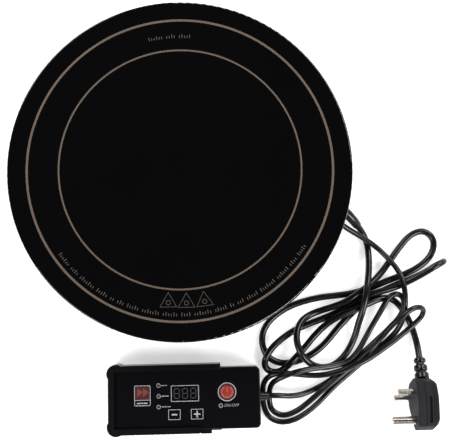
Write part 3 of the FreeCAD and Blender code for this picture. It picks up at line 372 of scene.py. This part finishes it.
def triangle(x, y, radius, turn):
    """The corners of a regular triangle, the first of them at the top before it's turned."""
    angles = [math.radians(a + turn) for a in (90, 210, 330)]
    return [(x + radius * math.cos(a), y + radius * math.sin(a)) for a in angles]


def rounded(x, y, width, height, corner, steps=5):
    """The outline of a rectangle with round corners."""
    points = []
    for turn, (sx, sy) in enumerate(((1, 1), (-1, 1), (-1, -1), (1, -1))):
        cx, cy = x + sx * (width / 2 - corner), y + sy * (height / 2 - corner)
        for i in range(steps + 1):
            a = math.pi / 2 * (turn + i / steps)
            points.append((cx + corner * math.cos(a), cy + corner * math.sin(a)))
    return points


class Print:
    """Flat marks of one ink, gathered in one mesh that rides on a body."""

    def __init__(self, name, body, ink, origin, level):
        self.name, self.body, self.ink = name, body, ink
        self.origin, self.low, self.high = origin, level - SUNK, level + INK
        self.mesh = bmesh.new()

    def loop(self, outline, z):
        x0, y0 = self.origin
        return [self.mesh.verts.new((x0 + x * MM, y0 + y * MM, z)) for x, y in outline]

    def solid(self, outline):
        """A filled convex shape."""
        low, high = self.loop(outline, self.low), self.loop(outline, self.high)
        self.mesh.faces.new(high)
        self.mesh.faces.new(low[::-1])
        for i in range(len(low)):
            j = (i + 1) % len(low)
            self.mesh.faces.new((low[i], low[j], high[j], high[i]))

    def band(self, outer, inner, closed=True):
        """The strip between two outlines with as many points each."""
        low_out, low_in, high_out, high_in = [
            self.loop(line, z) for z in (self.low, self.high) for line in (outer, inner)]
        count = len(low_out)
        for i in range(count if closed else count - 1):
            j = (i + 1) % count
            for quad in ((high_out[i], high_out[j], high_in[j], high_in[i]),
                         (low_out[j], low_out[i], low_in[i], low_in[j]),
                         (low_out[i], low_out[j], high_out[j], high_out[i]),
                         (high_in[i], high_in[j], low_in[j], low_in[i])):
                self.mesh.faces.new(quad)
        if not closed:
            self.mesh.faces.new((low_out[0], high_out[0], high_in[0], low_in[0]))
            self.mesh.faces.new((low_out[-1], low_in[-1], high_in[-1], high_out[-1]))

    def ring(self, x, y, radius, width, count):
        self.band(circle(x, y, radius + width / 2, count), circle(x, y, radius - width / 2, count))

    def arc(self, x, y, radius, width, start, end, count):
        """A strip along a circle from start to end degrees."""
        angles = [math.radians(start + (end - start) * i / count) for i in range(count + 1)]
        lines = [[(x + r * math.cos(a), y + r * math.sin(a)) for a in angles]
                 for r in (radius + width / 2, radius - width / 2)]
        self.band(*lines, closed=False)

    def border(self, x, y, width, height, corner, line):
        """The edge of a rectangle with round corners, as wide as the line."""
        sharpest = 0.05
        self.band(rounded(x, y, width, height, corner),
                  rounded(x, y, width - 2 * line, height - 2 * line, max(corner - line, sharpest)))

    def bar(self, start, end, width):
        (x0, y0), (x1, y1) = start, end
        length = math.hypot(x1 - x0, y1 - y0)
        nx, ny = -(y1 - y0) / length * width / 2, (x1 - x0) / length * width / 2
        self.solid([(x0 - nx, y0 - ny), (x1 - nx, y1 - ny), (x1 + nx, y1 + ny), (x0 + nx, y0 + ny)])

    def dashes(self, rows):
        """Level bars, each from its ends in X, its Y and its height."""
        for x0, x1, y, height in rows:
            self.bar((x0, y), (x1, y), height)

    def place(self):
        bmesh.ops.recalc_face_normals(self.mesh, faces=self.mesh.faces)
        data = bpy.data.meshes.new(self.name)
        self.mesh.to_mesh(data)
        self.mesh.free()
        data.materials.append(MATERIALS[self.ink])
        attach(add_object(self.name, data), self.body)


RINGS = [(127.3, 1.9), (101.0, 1.4)]            # radius and width of the two gold rings
RING_PARTS = 360

# Rows of plain ticks stand where there is small print on the glass.
TICK_ROWS = [
    # radius, angles of its two ends, and which way its tall ticks reach: out is 1 and in is -1
    (121.8, -145.0, -32.0, -1),
    (113.0, 102.5, 83.5, 1),
]
TICK_PITCH, TICK_WIDE, TICK_SHORT, TICK_TALL = 2.15, 0.55, 2.1, 3.2
TALL_EVERY = 3
WORDS = (6, 4, 7, 5, 2, 3, 5, 7)                # ticks in each group, with one left out after it

TRIANGLES = [(-11.7, -111.0, 0), (3.1, -111.6, 0), (17.9, -110.7, 6)]   # centre, and degrees turned
TRIANGLE_SIDE, TRIANGLE_LINE = 14.2, 0.32
DOT_RADIUS, DOT_LINE, DOT_DROP = 1.7, 0.4, 0.4  # the small ring in each triangle
DOT_PARTS = 24


def glass_marks():
    rings = Print("glass_rings", "unit", "gold_print", COOKER, GLASS_TOP)
    for radius, width in RINGS:
        rings.ring(0, 0, radius, width, RING_PARTS)
    rings.place()

    ticks = Print("glass_ticks", "unit", "faint_print", COOKER, GLASS_TOP)
    for radius, start, end, reach in TICK_ROWS:
        step = math.copysign(math.degrees(TICK_PITCH / radius), end - start)
        letter, word = 0, 0
        for place in range(int((end - start) / step)):
            if letter == WORDS[word % len(WORDS)]:
                letter, word = 0, word + 1
                continue
            tall = (letter + word) % TALL_EVERY == 0
            foot = radius - reach * TICK_SHORT / 2
            top = foot + reach * (TICK_TALL if tall else TICK_SHORT)
            low, high = sorted((foot, top))
            angle = math.radians(start + step * place)
            ticks.bar((low * math.cos(angle), low * math.sin(angle)),
                      (high * math.cos(angle), high * math.sin(angle)), TICK_WIDE)
            letter += 1
    ticks.place()

    signs = Print("glass_triangles", "unit", "faint_print", COOKER, GLASS_TOP)
    corner = TRIANGLE_SIDE / math.sqrt(3)       # from the triangle's centre
    for x, y, turn in TRIANGLES:
        signs.band(triangle(x, y, corner, turn), triangle(x, y, corner - 2 * TRIANGLE_LINE, turn))
        signs.ring(x, y - DOT_DROP, DOT_RADIUS, DOT_LINE, DOT_PARTS)
    signs.place()


LAMPS = [(-23.7, 11.9), (-23.7, 2.8), (-23.7, -6.3), (29.7, -6.4)]
LAMP_RADIUS, LAMP_LINE, LAMP_PARTS = 1.6, 0.4, 32
CAPTIONS = [
    # dashes for the words beside the lamps
    (-21.1, -18.9, 11.8, 0.6), (-18.4, -16.3, 11.8, 0.6),
    (-21.1, -18.6, 2.8, 0.7), (-18.1, -15.0, 2.8, 0.7),
    (-21.1, -19.2, -6.2, 0.6), (-18.8, -16.4, -6.2, 0.6), (-16.0, -13.4, -6.2, 0.6),
]

LABEL_AT, LABEL_HEIGHT, LABEL_SLANT = (32.3, -7.5), 3.5, 0.25
LABEL_THINNER = 0.05                # taken off the edge of each letter

WINDOW_AT, WINDOW_SIZE = (-1.0, 4.7), (24.0, 13.8)
WINDOW_CORNER, WINDOW_LINE = 0.6, 0.55

DIGITS = (-8.0, -0.9, 6.2)          # middle of each digit in X
SEGMENT_WIDE = 0.75
LEVEL_SEGMENTS, LEVEL_HALF = (4.1, 0, -4.1), 1.7        # heights above the window's middle
UPRIGHT_SEGMENTS, UPRIGHT_ENDS = (-2.2, 2.2), ((0.4, 3.8), (-3.8, -0.4))


def panel_marks():
    lines = Print("panel_lines", "unit", "white_print", PANEL, PANEL_TOP)
    for x, y in LAMPS:
        lines.ring(x, y, LAMP_RADIUS, LAMP_LINE, LAMP_PARTS)
    lines.dashes(CAPTIONS)
    lines.place()

    label = bpy.data.curves.new("on_off_label", "FONT")
    label.body = "ON/OFF"
    label.size = LABEL_HEIGHT * MM
    label.shear = LABEL_SLANT
    label.extrude = INK
    label.offset = -LABEL_THINNER * MM
    label.resolution_u = 4
    label.materials.append(MATERIALS["white_print"])
    piece = add_object("on_off_label", label)
    piece.location = (PANEL[0] + LABEL_AT[0] * MM, PANEL[1] + LABEL_AT[1] * MM, PANEL_TOP)
    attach(piece, "unit")

    window = Print("window_frame", "unit", "white_print", PANEL, PANEL_TOP)
    window.border(*WINDOW_AT, *WINDOW_SIZE, WINDOW_CORNER, WINDOW_LINE)
    window.place()

    digits = Print("window_digits", "unit", "grey_print", PANEL, PANEL_TOP)
    middle = WINDOW_AT[1]
    for x in DIGITS:
        digits.dashes([(x - LEVEL_HALF, x + LEVEL_HALF, middle + rise, SEGMENT_WIDE)
                       for rise in LEVEL_SEGMENTS])
        for side in UPRIGHT_SEGMENTS:
            for low, high in UPRIGHT_ENDS:
                digits.bar((x + side, middle + low), (x + side, middle + high), SEGMENT_WIDE)
    digits.place()


MODE_BORDER = (-37.6, 3.6, 14.0, 17.4, 1.2, 0.55)       # centre, size, corner and line
MODE_DASHES = [
    # the line under the block, and the caption below it
    (-44.0, -31.2, -0.2, 0.5),
    (-42.4, -39.6, -2.8, 1.0), (-39.1, -37.0, -2.8, 1.0), (-36.5, -33.2, -2.8, 1.0),
]
MODE_BLOCK = (-37.6, 5.9, 12.4, 11.4, 0.6)              # centre, size and corner
ARROWS, ARROW_LONG, ARROW_HEIGHTS = (-42.0, -37.2), 5.0, (2.6, 6.4, 10.2)

STEP_BORDER = (10.5, 8.7, 0.3, 0.45)                    # size, corner and line
STEP_KEYS = [
    # the key, its centre, and the strokes of its sign
    ("minus", (-10.3, -13.0), [((-12.7, -13.0), (-7.9, -13.0))]),
    ("plus", (9.2, -13.0), [((6.4, -13.0), (12.0, -13.0)),
                            ((9.2, -10.2), (9.2, -12.41)), ((9.2, -13.59), (9.2, -15.8))]),
]
STROKE = 1.2

POWER_AT = (35.3, 5.1)
POWER_PARTS = 64
POWER_RING, POWER_WELL = (7.6, 0.7), (6.4, 1.5)         # radius and width
POWER_ARC = (4.8, 1.3, 125, 415, 40)                    # also from and to in degrees, and parts
POWER_STEM, STEM_WIDE = (4.6, 9.4), 1.1


def key_marks():
    mode = Print("mode_key_lines", "mode_button", "white_print", PANEL, KEY_TOP)
    mode.border(*MODE_BORDER)
    mode.dashes(MODE_DASHES)
    mode.place()
    block = Print("mode_key_block", "mode_button", "red_print", PANEL, KEY_TOP)
    block.solid(rounded(*MODE_BLOCK))
    block.place()
    arrows = Print("mode_key_arrows", "mode_button", "arrow_print", PANEL, KEY_TOP + INK)
    low, middle, high = ARROW_HEIGHTS
    for x in ARROWS:
        arrows.solid([(x, low), (x + ARROW_LONG, middle), (x, high)])
    arrows.place()

    for key, centre, strokes in STEP_KEYS:
        lines = Print(key + "_key_lines", key + "_button", "white_print", PANEL, KEY_TOP)
        lines.border(*centre, *STEP_BORDER)
        for start, end in strokes:
            lines.bar(start, end, STROKE)
        lines.place()

    ring = Print("power_key_ring", "power_button", "white_print", PANEL, KEY_TOP)
    ring.ring(*POWER_AT, *POWER_RING, POWER_PARTS)
    ring.place()
    well = Print("power_key_well", "power_button", "dark_red_print", PANEL, KEY_TOP)
    well.ring(*POWER_AT, *POWER_WELL, POWER_PARTS)
    well.place()
    symbol = Print("power_key_symbol", "power_button", "salmon_print", PANEL, KEY_TOP)
    symbol.arc(*POWER_AT, *POWER_ARC)
    x, (foot, top) = POWER_AT[0], POWER_STEM
    symbol.bar((x, foot), (x, top), STEM_WIDE)
    symbol.place()


glass_marks()
panel_marks()
key_marks()

# ---- floor and light ---------------------------------------------------------------------------

FLOOR_HALF = 6.0                    # half of its side, m
FLOOR_COLOUR = (0.9, 0.9, 0.9, 1)
FLOOR_ROUGH, FLOOR_SHINE, FLOOR_GLOW = 0.9, 0.2, 0.55

SKY = [
    # how far up it is, from 0 at the horizon to 1 overhead, and its colour there
    (0.10, (1, 1, 1, 1)),
    (0.26, (0.42, 0.42, 0.43, 1)),
    (0.70, (0.03, 0.03, 0.032, 1)),
]

SOFTBOX_SIDE = 1.2
SOFTBOXES = [
    # where it stands, m, and its power, W
    ((1.60, -1.20, 1.65), 58.0),
    ((-1.60, -1.20, 1.70), 34.0),
    ((-1.20, 1.65, 1.70), 38.0),
    ((1.45, 1.50, 1.70), 38.0),
]


def add_floor():
    """White and faintly glowing, so that shadows on it stay soft."""
    corners = [(x * FLOOR_HALF, y * FLOOR_HALF, 0) for x, y in ((-1, -1), (1, -1), (1, 1), (-1, 1))]
    data = bpy.data.meshes.new("floor")
    data.from_pydata(corners, [], [(0, 1, 2, 3)])
    material = bpy.data.materials.new("floor")
    material.use_nodes = True
    shader = material.node_tree.nodes["Principled BSDF"]
    shader.inputs["Base Color"].default_value = FLOOR_COLOUR
    shader.inputs["Roughness"].default_value = FLOOR_ROUGH
    shader.inputs["Specular IOR Level"].default_value = FLOOR_SHINE
    shader.inputs["Emission Color"].default_value = (1, 1, 1, 1)
    shader.inputs["Emission Strength"].default_value = FLOOR_GLOW
    data.materials.append(material)
    add_object("floor", data)


def add_world():
    """Bright at the horizon and dark overhead, so the flat glass stays black from above."""
    world = bpy.data.worlds.new("studio")
    bpy.context.scene.world = world
    world.use_nodes = True
    nodes, links = world.node_tree.nodes, world.node_tree.links
    place = nodes.new("ShaderNodeTexCoord")
    split = nodes.new("ShaderNodeSeparateXYZ")
    ramp = nodes.new("ShaderNodeValToRGB")
    stops = ramp.color_ramp.elements
    stops[0].position, stops[1].position = SKY[0][0], SKY[-1][0]
    stops.new(SKY[1][0])
    for stop, (_, colour) in zip(stops, SKY):
        stop.color = colour
    links.new(place.outputs["Generated"], split.inputs["Vector"])
    links.new(split.outputs["Z"], ramp.inputs["Fac"])
    links.new(ramp.outputs["Color"], nodes["Background"].inputs["Color"])
    nodes["Background"].inputs["Strength"].default_value = 1.0


def add_lights():
    """Soft boxes that face the frame's origin."""
    for number, (at, power) in enumerate(SOFTBOXES):
        light = bpy.data.lights.new(f"softbox_{number}", "AREA")
        light.shape, light.size, light.energy = "SQUARE", SOFTBOX_SIDE, power
        holder = add_object(f"softbox_{number}", light)
        holder.location = at
        holder.rotation_euler = (-Vector(at)).to_track_quat("-Z", "Y").to_euler()


add_floor()
add_world()
add_lights()
bpy.context.scene.view_settings.view_transform = "Standard"
